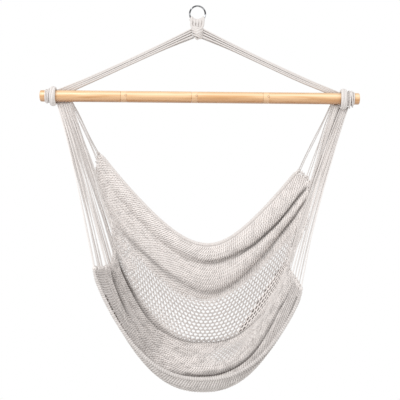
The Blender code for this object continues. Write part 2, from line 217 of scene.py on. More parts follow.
COTTON_LIGHT, COTTON_DARK = (0.97, 0.925, 0.9), (0.1, 0.08, 0.07)
cotton = rope_material("cotton_cord", COTTON_LIGHT, COTTON_DARK, 0.1, 0.35)
smooth_cotton = rope_material("smooth_cotton_cord", COTTON_LIGHT, COTTON_DARK, 0.03, 0.1)
wood, pale_wood = wood_material("pine", 0.0), wood_material("pale_pine", 0.2)
chrome = chrome_material()
pine_core = Surface("pine_dowel", (0.78, 0.55, 0.32), 0.5).material

# ---- tubes

def eased(value, low, high):
    """A smooth step from 0 at low to 1 at high."""
    t = np.clip((value - low) / (high - low), 0, 1)
    return t * t * (3 - 2 * t)


def unit(v):
    return v / np.maximum(np.linalg.norm(v, axis=-1, keepdims=True), 1e-12)


def length_along(points):
    """The length from the start of a line to each of its points."""
    steps = np.linalg.norm(np.diff(points, axis=0), axis=-1)
    return np.concatenate([[0], np.cumsum(steps)])


def smooth_line(points, count):
    """A smooth curve through the points, with its places evenly spaced."""
    points = np.asarray(points, float)
    padded = np.vstack([2 * points[0] - points[1], points, 2 * points[-1] - points[-2]])
    t = np.linspace(0, 1, 30, endpoint=False)[:, None]
    dense = [0.5 * (2 * b + (c - a) * t + (2 * a - 5 * b + 4 * c - d) * t**2
                    + (3 * b - a - 3 * c + d) * t**3)
             for a, b, c, d in zip(padded, padded[1:], padded[2:], padded[3:])]
    dense = np.vstack(dense + [points[-1:]])
    run = length_along(dense)
    places = np.linspace(0, run[-1], count)
    return np.stack([np.interp(places, run, dense[:, k]) for k in range(3)], axis=-1)


def frames(paths):
    """Two directions across each path, carried along it without twisting. Paths are (k, n, 3)."""
    tangent = unit(np.gradient(paths, axis=1))
    helper = np.where(np.abs(tangent[:, 0, 2:]) < 0.9, [[0, 0, 1.0]], [[1.0, 0, 0]])
    across = [unit(np.cross(tangent[:, 0], helper))]
    for i in range(1, paths.shape[1]):
        turn = across[-1] - tangent[:, i] * (across[-1] * tangent[:, i]).sum(-1, keepdims=True)
        across.append(unit(turn))
    across = np.stack(across, axis=1)
    return across, np.cross(tangent, across)


class Cords:
    """Gathers tubes into one mesh, with a UV map along them and a tone for each place."""

    def __init__(self):
        self.verts, self.faces, self.uvs, self.tones, self.count = [], [], [], [], 0

    def add(self, paths, radius, sides=8, tone=1.0, caps=True):
        """A tube, or several of the same number of places. Radius and tone may vary along it."""
        paths = np.asarray(paths, float)
        paths = paths[None] if paths.ndim == 2 else paths
        k, n = paths.shape[:2]
        one, two = frames(paths)
        radius, tone = (np.broadcast_to(np.asarray(v, float), (k, n)) for v in (radius, tone))
        steps = np.linalg.norm(np.diff(paths, axis=1), axis=-1)
        run = np.concatenate([np.zeros((k, 1)), np.cumsum(steps, axis=1)], axis=1)
        angle = np.linspace(0, 2 * math.pi, sides, endpoint=False)
        size = radius[:, :, None] * np.ones(sides)
        places = (paths[:, :, None] + one[:, :, None] * (size * np.cos(angle))[..., None]
                  + two[:, :, None] * (size * np.sin(angle))[..., None])
        self.verts.append(places.reshape(-1, 3))
        self.tones.append(np.repeat(tone.reshape(-1), sides))
        index = self.count + np.arange(k * n * sides).reshape(k, n, sides)
        self.count += k * n * sides
        a, b = index[:, :-1], index[:, 1:]
        quads = np.stack([a, np.roll(a, -1, 2), np.roll(b, -1, 2), b], axis=-1)
        self.faces.append(quads.reshape(-1, 4))
        shape = (k, n - 1, sides)
        u = np.broadcast_to(np.arange(sides) / sides, shape)
        low, high = (np.broadcast_to(v[..., None], shape) for v in (run[:, :-1], run[:, 1:]))
        corners = ((u, low), (u + 1 / sides, low), (u + 1 / sides, high), (u, high))
        self.uvs.append(np.stack([np.stack(c, -1) for c in corners], axis=3).reshape(-1, 4, 2))
        if caps:
            self.close(index[:, 0], paths[:, 0], tone[:, 0], False)
            self.close(index[:, -1], paths[:, -1], tone[:, 0], True)
        return self

    def close(self, end, place, tone, last):
        """Closes the tubes' ends with triangles round a middle point."""
        middle = np.broadcast_to((self.count + np.arange(len(place)))[:, None], end.shape)
        self.verts.append(place)
        self.tones.append(tone)
        self.count += len(place)
        beside = np.roll(end, -1, 1)
        order = [middle, end, beside] if last else [middle, beside, end]
        self.faces.append(np.stack(order, axis=-1).reshape(-1, 3))
        self.uvs.append(np.zeros((end.size, 3, 2)))

    def add_faces(self, verts, faces, tone=1.0):
        """A plain patch of mesh: verts (n, 3) and faces (m, 3 or 4)."""
        verts = np.asarray(verts, float)
        self.verts.append(verts)
        self.tones.append(np.broadcast_to(np.asarray(tone, float), (len(verts),)).copy())
        faces = np.asarray(faces)
        self.faces.append(faces + self.count)
        self.uvs.append(np.stack([verts[faces][..., 0], verts[faces][..., 2]], -1))
        self.count += len(verts)
        return self

    def build(self, name, surface=None, body=None, slot="rope"):
        """Makes the piece, in plain cotton unless another surface is named."""
        mesh = bpy.data.meshes.new(name)
        verts = np.vstack(self.verts)
        sizes = np.concatenate([np.full(len(f), f.shape[1]) for f in self.faces])
        corners = np.concatenate([f.reshape(-1) for f in self.faces])
        mesh.vertices.add(len(verts))
        mesh.vertices.foreach_set("co", verts.astype(np.float32).ravel())
        mesh.loops.add(len(corners))
        mesh.loops.foreach_set("vertex_index", corners.astype(np.int32))
        mesh.polygons.add(len(sizes))
        starts = np.concatenate([[0], np.cumsum(sizes)[:-1]])
        mesh.polygons.foreach_set("loop_start", starts.astype(np.int32))
        layer = mesh.uv_layers.new(name="along")
        uvs = np.concatenate([u.reshape(-1) for u in self.uvs])
        layer.data.foreach_set("uv", uvs.astype(np.float32))
        attribute = mesh.attributes.new("tone", "FLOAT", "POINT")
        attribute.data.foreach_set("value", np.concatenate(self.tones).astype(np.float32))
        mesh.update(calc_edges=True)
        mesh.shade_smooth()
        mesh.materials.append(surface or cotton)
        obj = placed(name, mesh)
        if body:
            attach(obj, body)
        return obj


# ---- sizes of the frame

RING_INNER, RING_WIRE = 0.044, 0.005
RING_RADIUS = (RING_INNER + RING_WIRE) / 2
RING_CENTRE = np.array([0, 0, -RING_INNER / 2])
BAR_LENGTH, BAR_RADIUS = 1.0, 0.018
BAR_CENTRE = np.array([0.007, 0.0, -0.2835])
BAR_TILT = math.radians(0.55)
SEAMS = (-0.247, -0.0255, 0.198)
SEAT_WIDTH, SEAT_DEPTH, SEAT_BACK = 0.62, 0.33, 0.125
SEAT_TOP, SEAT_HEIGHT, ROLL_DEPTH = -0.455, 0.714, 0.016
EYE_INNER = {-1: 0.4495, 1: 0.4395}  # the inner side of each eye, from the bar's middle
SIDES = ((-1, "left"), (1, "right"))


def along_bar(station, out=0.0, angle=0.0):
    """A place near the bar. Angle 0 is straight up and turns towards the front."""
    given = (np.asarray(x, float) for x in (station, out, angle))
    station, out, angle = np.broadcast_arrays(*given)
    local = np.stack([station, -np.sin(angle) * out, np.cos(angle) * out], axis=-1)
    c, s = math.cos(BAR_TILT), math.sin(BAR_TILT)
    turn = np.array([[c, 0, s], [0, 1, 0], [-s, 0, c]])
    return BAR_CENTRE + local @ turn.T


# ---- ring, hitch and knot

KNOT_X = -0.001  # the knot hangs a little to the left of the ring's middle
WOUND_TONE = 0.66
HITCH_TURNS, HITCH_CORD, HITCH_OUT = 8, 0.0027, 0.0029
HITCH_FROM, HITCH_ARC = math.radians(-52), math.radians(84)


def circle_of(centre, one, two, count):
    t = np.linspace(0, 2 * math.pi, count)[:, None]
    return np.asarray(centre) + np.cos(t) * np.asarray(one) + np.sin(t) * np.asarray(two)


ring_line = circle_of(RING_CENTRE, (RING_RADIUS, 0, 0), (0, 0, RING_RADIUS), 97)
ring = Cords().add(ring_line, RING_WIRE / 2, sides=16, caps=False)
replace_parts(ring.build("ring_wire", chrome, "ring", "steel"), "hanging_ring")

# The hitch is one cord wound side by side round the lower part of the ring.
wound = RING_WIRE / 2 + HITCH_OUT
t = np.linspace(0, 1, HITCH_TURNS * 16)
arc = HITCH_FROM + t * HITCH_ARC
about = 2 * math.pi * HITCH_TURNS * t
spread = RING_RADIUS + wound * np.cos(about) * (1 - 0.2 * (np.cos(about) < 0))
winding = np.stack([spread * np.sin(arc), wound * np.sin(about),
                    RING_CENTRE[2] - spread * np.cos(arc)], -1)
hitch = Cords().add(winding, HITCH_CORD, sides=8, tone=WOUND_TONE)
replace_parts(hitch.build("ring_hitch_windings", smooth_cotton, "ring_hitch"), "ring_hitch")

# The neck's cords loop over the ring and run down into the knot, every other one behind.
neck = Cords()
for n in range(9):
    s = (n - 4) / 4
    x = 0.0182 * s
    ring_z = RING_CENTRE[2] - math.sqrt(RING_RADIUS**2 - x**2)
    near = -1 if n % 2 == 0 else 1
    points = [(x, -0.005 * near, ring_z - 0.005), (x, -0.0035 * near, ring_z + 0.0045),
              (x, 0.0046 * near, ring_z + 0.003), (x * 1.02, 0.007 * near, ring_z - 0.004),
              (0.0178 * s + KNOT_X, 0.0062 * near, -0.058),
              (0.015 * s + KNOT_X, 0.0062 * near, -0.066),
              (0.012 * s + KNOT_X, 0.006 * near, -0.0745)]
    neck.add(smooth_line(points, 40), 0.0042 if near < 0 else 0.0036, sides=10, tone=WOUND_TONE)
neck_piece = neck.build("neck_cords", smooth_cotton)
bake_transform(neck_piece)


def knot_wrap(height, tilt, rx, ry, start=0.0, end=2 * math.pi):
    """A turn round the knot, or part of one. Tilt lowers its right side."""
    a = np.linspace(start, end, 56)
    x = rx * np.cos(a)
    return np.stack([x + KNOT_X, -ry * np.sin(a), height - tilt * x / rx], -1)


knot = Cords()
# Painted shade: the knot's dark core shows in the gaps between the turns round it.
core_z = np.array([-0.064, -0.07, -0.078, -0.09, -0.097, -0.1015])
core_r = np.array([0.0125, 0.013, 0.013, 0.0118, 0.0085, 0.004])
core = np.stack([np.full(6, KNOT_X), np.zeros(6), core_z], -1)
knot.add(core, core_r, sides=20, tone=0.25)
# Turns round the knot: height, tilt, how far out, and the cord's radius.
for height, tilt, out, r in ((-0.068, 0.003, 0.015, 0.0034), (-0.0738, 0.0072, 0.0148, 0.0037),
                             (-0.0802, 0.0085, 0.0146, 0.0037), (-0.0868, 0.008, 0.0136, 0.0035),
                             (-0.093, 0.005, 0.011, 0.0032)):
    knot.add(knot_wrap(height, tilt, out, out), r, sides=12, tone=WOUND_TONE)
# Two strands that cross over them the other way, in front.
for height, out in ((-0.0775, 0.0162), (-0.085, 0.0158)):
    knot.add(knot_wrap(height, -0.0105, 0.016, out, -0.4, 1.75), 0.0033, sides=12, tone=0.7)
tip = smooth_line([(-0.0075, -0.006, -0.0955), (-0.004, -0.006, -0.1005), (0.0, -0.005, -0.102),
                   (0.004, -0.004, -0.099), (0.006, -0.002, -0.095)], 20)
knot.add(tip, 0.0027, sides=10, tone=0.6)
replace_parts(knot.build("knot_windings", smooth_cotton, "knot"), "gathering_knot")

# ---- suspension cords

SUSPENSION, LAYER = 0.0046, 0.0036
ON_BAR = math.radians(-22)  # where the cords reach the bar, behind its top
KNOT_TOP, KNOT_SPAN = 0.069, 0.0265  # below the ring's inner top
RIBBON_WIDTH = 0.017
SETTLED = (0.0, 0.12, 0.25, 0.42, 0.62, 0.7, 0.93, 1.0)  # each cord's place across the ribbon
# The knot's outline: depth below the ring's inner top, and radius.
KNOT_OUTLINE = ((0.068, 0.0738, 0.0802, 0.0868, 0.093, 0.0965),
                (0.0184, 0.0185, 0.0183, 0.0171, 0.0142, 0.011))


def suspension(side, word):
    """Eight cords in two layers. They leave the knot spread out, settle into a flat ribbon on the
    way, and go a quarter of a turn round the bar side by side."""
    outermost, spread = EYE_INNER[side] - 0.003, 0.052 if side < 0 else 0.04
    rest = BAR_RADIUS + SUSPENSION / 2 + 0.0006
    top_start = np.array([side * KNOT_OUTLINE[1][0] + KNOT_X, 0, -KNOT_TOP])
    top_end = along_bar(side * outermost, rest, ON_BAR)
    slope = (top_end[2] - top_start[2]) / (top_end[0] - top_start[0])
    made = []
    for n in range(8):
        share = n / 7  # 0 is the top cord, which reaches furthest along the bar
        layer = LAYER * (1 if n % 2 else -1)
        low = KNOT_TOP + KNOT_SPAN * share
        # Each cord starts just inside the knot's outline at its own height.
        reach = np.interp(low, *KNOT_OUTLINE) - 0.002
        start = np.array([side * reach + KNOT_X, layer * 0.8, -low])
        station = side * (outermost - spread * share)
        end = along_bar(station, rest, ON_BAR)
        way = end - start
        points = [start]
        for t, hold in ((0.04, 0.9), (0.24, 0.25), (0.5, 0.0), (0.78, 0.25)):
            place = start + way * t
            ribbon = (top_start[2] - 0.0072 - (SETTLED[n] - 0.5) * RIBBON_WIDTH - 0.0045
                      + slope * (place[0] - top_start[0]))
            sag = 0.0035 * 4 * t * (1 - t)
            place[2] = place[2] * hold + ribbon * (1 - hold) - sag
            place[1] = layer * 1.05 + way[1] * t
            points.append(place)
        points.append(end)
        points += [along_bar(station, rest, math.radians(angle)) for angle in (-50, -75, -94)]
        line = smooth_line(points, 260)
        # Painted shade: the back layer's cords are darker than the front layer's.
        cords = Cords().add(line, SUSPENSION / 2, sides=10, tone=0.48 if n % 2 else 0.68)
        made.append(cords.build(f"suspension_{word}_{n + 1}", smooth_cotton, "yoke"))
    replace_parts(made[0], *[f"suspension_cord_{word}_{k}" for k in range(1, 5)])


for side_sign, side_word in SIDES:
    suspension(side_sign, side_word)

# ---- spreader bar

BORE, GROOVE, COLLAR = 0.0085, 0.0008, 0.019
PLUG_STATION, PLUG_ANGLE = 0.016, math.radians(80)


def turned_bar(name, profile, surface, node_name=None):
    """A solid turned about the bar's axis: the profile is (station, radius)."""
    stations, radii = (np.array(v) for v in zip(*profile))
    sides = 64
    a = np.linspace(0, 2 * math.pi, sides, endpoint=False)
    places = along_bar(stations[:, None], radii[:, None], a[None])
    n = len(stations)
    index = np.arange(n * sides).reshape(n, sides)
    p, q = index[:-1], index[1:]
    quads = np.stack([p, q, np.roll(q, -1, 1), np.roll(p, -1, 1)], axis=-1).reshape(-1, 4)
    # The tone is 1 on top and 0 underneath; the pine paints shade and a highlight from it.
    tone = np.broadcast_to(0.5 + 0.5 * np.cos(a), (n, sides)).reshape(-1)
    section = Cords().add_faces(places.reshape(-1, 3), quads, tone)
    piece = section.build(name, surface, "bar", "wood")
    crisp = piece.modifiers.new("Crisp", "EDGE_SPLIT")
    crisp.split_angle = math.radians(35)
    if node_name:
        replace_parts(piece, node_name)


def bar_sections():
    """Four turned lengths. Each one after the first begins with a paler collar."""
    edges = [-BAR_LENGTH / 2, *SEAMS, BAR_LENGTH / 2]
    r, gap, chamfer, round_off = BAR_RADIUS, 0.0002, 0.0009, 0.005
    turn = np.linspace(0, math.pi / 2, 9)
    for n, (low, high) in enumerate(zip(edges, edges[1:])):
        left = [(low + gap, BORE), (low + gap, r - chamfer), (low + gap + chamfer, r)]
        right = [(high - gap - chamfer, r), (high - gap, r - chamfer), (high - gap, BORE)]
        rounded = [(round_off * (1 - math.sin(a)), r - round_off * (1 - math.cos(a))) for a in turn]
        if n == 0:
            left = [(low, 0.0)] + [(low + step, radius) for step, radius in rounded[::-1]]
        if n == len(edges) - 2:
            right = [(high - step, radius) for step, radius in rounded] + [(high, 0.0)]
        if not n:
            turned_bar("bar_length_1", left + right, wood, "bar_section_1")
            continue
        # The collar ends in a shallow groove, and a dowel's plug shows in its front.
        groove = low + COLLAR
        floor_of = [(groove, r - GROOVE), (groove, BORE)]
        turned_bar(f"bar_collar_{n}", left + [(groove - 0.0011, r)] + floor_of, pale_wood)
        start = floor_of[::-1] + [(groove + 0.0011, r)]
        turned_bar(f"bar_length_{n + 1}", start + right, wood, f"bar_section_{n + 1}")
        spot = along_bar(low + PLUG_STATION, r, PLUG_ANGLE)
        out = unit(spot - along_bar(low + PLUG_STATION))
        one = unit(np.cross(out, [0, 0, 1.0]))
        rim = circle_of(spot, one * 0.003, np.cross(out, one) * 0.003, 24)
        plug = Cords().add(rim, 0.0006, sides=6, tone=0.0, caps=False)
        plug.add(np.stack([spot - out * 0.002, spot, spot + out * 0.0004]),
                 np.array([0.0024, 0.0024, 0.0015]), sides=16, tone=0.8)
        plug.build(f"bar_plug_{n}", pale_wood, "bar", "wood")


bar_sections()
# The dowels and pins of the frame show as they are, in a darker wood.
for name in [f"bar_{kind}_{n}" for kind in ("stud", "pin") for n in (1, 2, 3)]:
    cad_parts[name].data.materials.clear()
    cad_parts[name].data.materials.append(pine_core)

# ---- loops on the bar's ends

STRAND = 0.0026


def round_bar(station, out, tilt, phase, low):
    """A turn of cord round the bar. Low lets it hang further from the bar underneath."""
    a = np.linspace(0, 2 * math.pi, 72)
    hang = low * np.exp(-((np.mod(a, 2 * math.pi) - math.pi) / 1.2) ** 2)
    return along_bar(station + tilt * np.sin(a + phase), out + hang, a)


def wound_loop(station, width, out, thick, strands, twist, low):
    """A loop of several strands laid round an oval core, turning slowly round it."""
    a = np.linspace(0, 2 * math.pi, 90)
    hang = low * np.exp(-((a - math.pi) / 1.1) ** 2)
    middle = out + thick / 2 + hang
    core = along_bar(np.full(90, station), middle, a)
    # Painted shade: the darker core shows in the gaps between the strands.
    cords = Cords().add(core, min(width, thick) * 0.42, sides=14, tone=0.5, caps=False)
    for k in range(strands):
        b = 2 * math.pi * k / strands + twist * a
        strand = along_bar(station + (width / 2 - STRAND) * np.cos(b),
                           middle + (thick / 2 - STRAND) * np.sin(b), a)
        cords.add(strand, STRAND, sides=8, tone=0.68 + 0.12 * (k % 2), caps=False)
    return cords


def loops():
    """The two eyes of the seat's strings, and outside them the yoke's hitches."""
    rest = BAR_RADIUS + 0.0004
    # Each eye: station, width, thickness, strands, twist, and how far it hangs underneath.
    for word, station, width, *more in (("left", -0.459, 0.0188, 0.0125, 9, 0.5, 0.0015),
                                        ("right", 0.4498, 0.02, 0.0135, 10, 0.4, 0.003)):
        eye = wound_loop(station, width, rest, *more)
        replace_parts(eye.build(f"eye_{word}_windings", None, "seat"), f"eye_loop_{word}")
    # Each turn: station, out, tilt, phase, how far it hangs underneath, and radius.
    left = [(-0.4708 - 0.0035 * n, 0.0018, 0.0006, n, 0.0, 0.0018) for n in range(4)]
    left += [(-0.4752, 0.0048, 0.0045, 0.8, 0.0, 0.0016)]
    right = [(0.4627 + 0.0044 * n, 0.0021, 0.0007 * (n % 3), n * 1.7, 0.0, 0.0021)
             for n in range(5)]
    right += [(0.466, 0.0057, 0.0035, 0.3, 0.004, 0.0019),
              (0.4725, 0.0057, 0.005, 2.4, 0.006, 0.0019),
              (0.4765, 0.0055, 0.003, 4.0, 0.002, 0.0019)]
    for word, turns in (("left", left), ("right", right)):
        cords = Cords()
        for station, out, tilt, phase, low, r in turns:
            line = round_bar(station, rest + out, tilt, phase, low)
            cords.add(line, r, tone=0.74, caps=False)
        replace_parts(cords.build(f"hitch_{word}_windings", None, "yoke"), f"bar_hitch_{word}")


loops()

# ---- the hung net's surface

# The net's two edges and its middle line from back to front. Each place is (across, back to front,
# down), as shares of the seat's half width, depth and height.
LEFT_EDGE = (
    (1.034, 0.00, 0.000), (1.046, 0.03, 0.11), (0.98, 0.06, 0.21), (0.89, 0.12, 0.319),
    (0.858, 0.24, 0.437), (0.854, 0.39, 0.491), (0.903, 0.7, 0.503), (0.974, 1.00, 0.497),
)
RIGHT_EDGE = (
    (1.047, 0.000, 0.082), (1.15, 0.015, 0.119), (1.16, 0.06, 0.192), (1.113, 0.15, 0.322),
    (0.974, 0.3, 0.44), (0.905, 0.485, 0.505), (0.939, 0.73, 0.548), (0.977, 1.00, 0.583),
)
MIDDLE = (
    (0.11, 0.000, 0.416), (0.11, 0.015, 0.493), (0.1, 0.03, 0.634), (0.08, 0.09, 0.742),
    (0.065, 0.212, 0.84), (0.058, 0.515, 0.906), (0.055, 0.758, 0.973), (0.054, 0.894, 0.999),
    (0.054, 0.985, 0.98), (0.054, 1.000, 0.941),
)


def seat_point(share, side):
    across, back, down = share
    return (side * across * SEAT_WIDTH / 2, SEAT_BACK - back * SEAT_DEPTH,
            SEAT_TOP - down * SEAT_HEIGHT)


PLACES = 401
SHARES = np.linspace(0, 1, PLACES)
LEFT, CENTRE, RIGHT = (smooth_line([seat_point(p, s) for p in curve], PLACES)
                       for curve, s in ((LEFT_EDGE, -1), (MIDDLE, 1), (RIGHT_EDGE, 1)))


def at_row(curve, row):
    return np.stack([np.interp(row, SHARES, curve[:, k]) for k in range(3)], axis=-1)


def hang(across, row):
    """How high a place hangs, from 0 at the middle line to 1 at the edge. The back rows hang in a
    V and the front ones in a bowl."""
    a = np.abs(across)
    soft = 0.5
    veed = (np.sqrt(a**2 + soft**2) - soft) / (math.sqrt(1 + soft**2) - soft)
    bowl = 0.8 * a**2.4 + 0.2 * (1 - np.sqrt(np.maximum(1 - a**2, 0)))
    mix = eased(row, 0.28, 0.52)
    return veed * (1 - mix) + bowl * mix


def roll(across, row):
    """How far the back is drawn into two soft rolls, from 0 to 1."""
    first = 0.1 + 0.035 * np.maximum(across, 0)
    second = 0.27 - 0.1 * np.maximum(across, 0) + 0.12 * np.maximum(-across, 0)
    upper = np.sin(np.pi * np.clip(row / first, 0, 1))
    lower = np.sin(np.pi * np.clip((row - first) / (second - first), 0, 1))
    return np.maximum(upper, lower) * (1 - eased(np.abs(across), 0.75, 1.0))


def net_surface(across, row):
    """The net's middle surface at across (-1 left to 1 right) and row (0 back to 1 front)."""
    across, row = np.broadcast_arrays(np.asarray(across, float), np.asarray(row, float))
    end = np.where(across[..., None] < 0, at_row(LEFT, row), at_row(RIGHT, row))
    reach = np.stack([np.abs(across), across**2, hang(across, row)], axis=-1)
    middle = at_row(CENTRE, row)
    place = middle + (end - middle) * reach
    place[..., 1] -= ROLL_DEPTH * roll(across, row)
    return place


def beside(value, step, least):
    """The places a step before and a step after, on the net."""
    return np.clip(value - step, least, 1), np.clip(value + step, least, 1)


def net_frame(across, row):
    """Place, the way along the row, the way up the net and the way out towards the sitter."""
    (low_a, high_a), (low_r, high_r) = beside(across, 0.004, -1), beside(row, 0.004, 0)
    along = unit(net_surface(high_a, row) - net_surface(low_a, row))
    down = unit(net_surface(across, high_r) - net_surface(across, low_r))
    out = unit(np.cross(down, along))
    return net_surface(across, row), along, np.cross(out, along), out


# Folds of the net, pushed back and darkened with painted shade. Each is (how deep, its points),
# and a point is (across, row, how dark its painted shade is, how wide).
FOLDS = (
    # under the backrest's first roll
    (0.006, ((-0.45, 0.085, 0.0, 0.008), (-0.17, 0.085, 0.16, 0.009), (0.04, 0.088, 0.34, 0.009),
             (0.28, 0.095, 0.45, 0.008), (0.46, 0.118, 0.55, 0.007), (0.71, 0.128, 0.72, 0.006),
             (0.8, 0.117, 0.8, 0.0055), (0.9, 0.106, 0.82, 0.0055), (0.965, 0.106, 0.75, 0.005),
             (0.995, 0.112, 0.0, 0.005))),
    # under its second roll
    (0.006, ((-0.97, 0.36, 0.0, 0.006), (-0.8, 0.31, 0.25, 0.006), (-0.59, 0.268, 0.36, 0.007),
             (-0.41, 0.25, 0.34, 0.008), (-0.21, 0.233, 0.26, 0.01), (0.05, 0.247, 0.28, 0.011),
             (0.41, 0.245, 0.26, 0.011), (0.59, 0.235, 0.32, 0.009), (0.72, 0.21, 0.4, 0.007),
             (0.87, 0.2, 0.52, 0.006), (0.97, 0.178, 0.5, 0.005), (0.995, 0.172, 0.0, 0.005))),
    # along the hollow's front, where the seat begins
    (0.008, ((-0.96, 0.51, 0.5, 0.006), (-0.92, 0.518, 0.97, 0.01), (-0.8, 0.524, 0.97, 0.01),
             (-0.68, 0.54, 0.7, 0.009), (-0.59, 0.542, 0.48, 0.009), (-0.41, 0.52, 0.42, 0.011),
             (0.0, 0.5, 0.44, 0.012), (0.29, 0.512, 0.42, 0.01), (0.48, 0.517, 0.36, 0.008),
             (0.65, 0.54, 0.25, 0.006), (0.8, 0.525, 0.0, 0.006))),
    # a short deep one at the seat's left
    (0.01, ((-0.99, 0.724, 0.8, 0.01), (-0.96, 0.727, 0.99, 0.014), (-0.85, 0.738, 0.99, 0.013),
             (-0.8, 0.745, 0.75, 0.008), (-0.74, 0.748, 0.0, 0.005))),
    # behind the front lip
    (0.008, ((-0.4, 0.82, 0.0, 0.005), (-0.33, 0.8, 0.45, 0.006), (-0.15, 0.783, 0.85, 0.008),
             (0.0, 0.778, 0.92, 0.0088), (0.29, 0.775, 0.95, 0.0088), (0.59, 0.785, 0.95, 0.0085),
             (0.71, 0.775, 0.95, 0.008), (0.86, 0.772, 0.92, 0.0075), (0.97, 0.815, 0.75, 0.006),
             (0.995, 0.825, 0.0, 0.006))),
    # between the lip and the front hem, at the right
    (0.002, ((0.12, 0.99, 0.0, 0.006), (0.35, 0.988, 0.55, 0.007), (0.51, 0.985, 0.8, 0.008),
             (0.74, 0.978, 0.9, 0.009), (0.9, 0.97, 0.9, 0.009), (0.98, 0.965, 0.7, 0.008))),
)


def row_scale(across, row):
    """How far apart neighbouring rows hang, in metres for each share of row."""
    (low, high), (left, right) = beside(row, 0.01, 0), beside(across, 0.01, -1)
    step = (net_surface(across, high) - net_surface(across, low)) / (high - low)[..., None]
    along = unit(net_surface(right, row) - net_surface(left, row))
    return np.linalg.norm(step - along * (step * along).sum(-1, keepdims=True), axis=-1)


def folded(across, row):
    """(how far back a place is pushed, how dark its painted shade is) from the folds."""
    back, dark = np.zeros(np.shape(across)), np.zeros(np.shape(across))
    scale = row_scale(across, row)
    for depth, points in FOLDS:
        a, r, darkness, width = (np.array(v) for v in zip(*points))
        inside = (across >= a[0]) & (across <= a[-1])
        away = (row - np.interp(across, a, r)) * scale
        near = inside * np.exp(-(away / np.interp(across, a, width)) ** 2)
        strength = np.interp(across, a, darkness)
        back = np.maximum(back, depth * near * np.minimum(strength * 2, 1))
        dark = np.maximum(dark, strength * near)
    return back, dark


def shade(across, row):
    """Painted shade: the net is a little greyer where it turns away from the light, round the
    front lip and down its sides.
    """
    lip = eased(row, 0.8, 0.84)
    left = eased(-across, 0.35, 0.6) * eased(row, 0.46, 0.52)
    right = eased(across, 0.5, 0.8) * eased(row, 0.46, 0.55)
    return 1 - np.maximum(np.maximum(0.3 * lip, 0.2 * left), 0.12 * right)


def openness(across, row):
    """0 where the cords are drawn together and 1 where the net hangs wide open."""
    lean = 0.03
    top = (0.262 + lean * np.abs(across) + lean * np.maximum(-across, 0)
           - lean * np.maximum(across, 0))
    band = eased(row, top, top + 0.05) * (1 - eased(row, 0.475, 0.505))
    sides = (1 - 0.25 * eased(-across, 0.55, 0.85)) * (1 - 0.8 * eased(across, 0.74, 0.92))
    # Two places in the band are drawn together, and one patch of the seat is open.
    drawn = 0.55 * np.exp(-((across + 0.42) / 0.2) ** 2 - ((row - 0.46) / 0.045) ** 2)
    drawn = drawn + 0.45 * np.exp(-((across - 0.05) / 0.14) ** 2 - ((row - 0.29) / 0.03) ** 2)
    patch = 1.2 * np.exp(-((across - 0.31) / 0.24) ** 2 - ((row - 0.63) / 0.06) ** 2)
    return np.clip(np.maximum(band * sides * (1 - drawn), patch), 0, 1)


def opened(across, row, apart):
    """Openness, less where the rows lie close together. Apart is their distance in metres."""
    left = eased(-across, 0.7, 0.8)
    return openness(across, row) * eased(apart, 0.0045 - 0.0015 * left, 0.0085 - 0.0025 * left)


# Rows of gaps that show the shaded net behind them, where the sheet behind is painted dark as
# shade, as (across, row, half their height).
SHADED_GAPS = (
    ((0.34, 0.5, 0.0), (0.44, 0.484, 0.026), (0.62, 0.452, 0.046), (0.72, 0.44, 0.05),
     (0.83, 0.43, 0.046), (0.9, 0.42, 0.0)),
    ((0.85, 0.36, 0.0), (0.89, 0.34, 0.04), (0.94, 0.31, 0.05), (0.97, 0.3, 0.05),
     (0.995, 0.3, 0.0)),
)


def dark_holes(across, row):
    """Where the gaps show the shaded net behind them, and the sheet behind is painted dark as
    shade.
    """
    found = np.zeros(np.shape(across))
    for points in SHADED_GAPS:
        a, r, half = (np.array(v) for v in zip(*points))
        reach = np.interp(across, a, half, left=0, right=0)
        away = np.abs(row - np.interp(across, a, r))
        found = np.maximum(found, np.clip((reach - away) / 0.008 + 0.5, 0, 1) * (reach > 0.004))
    return found


ROWS, TURNS, STEPS = 58, 60, 9
SHADED_EDGE = 0.86  # shaded gaps further right than this have thinner cords
BANDS = (("backrest", 0, 15), ("hollow", 15, 30), ("seat", 30, 44), ("lip", 44, ROWS))
FINE = np.linspace(-1, 1, 601)


def evenly(row, count):
    """Across at even steps of length along a row, and the row's length."""
    run = length_along(net_surface(FINE, np.full(len(FINE), row)))
    return np.interp(np.linspace(0, run[-1], count), run, FINE), run[-1]


def between(tight, slack, loose):
    """One value where the net is drawn together, the other where it is loose."""
    return tight * (1 - loose) + slack * loose


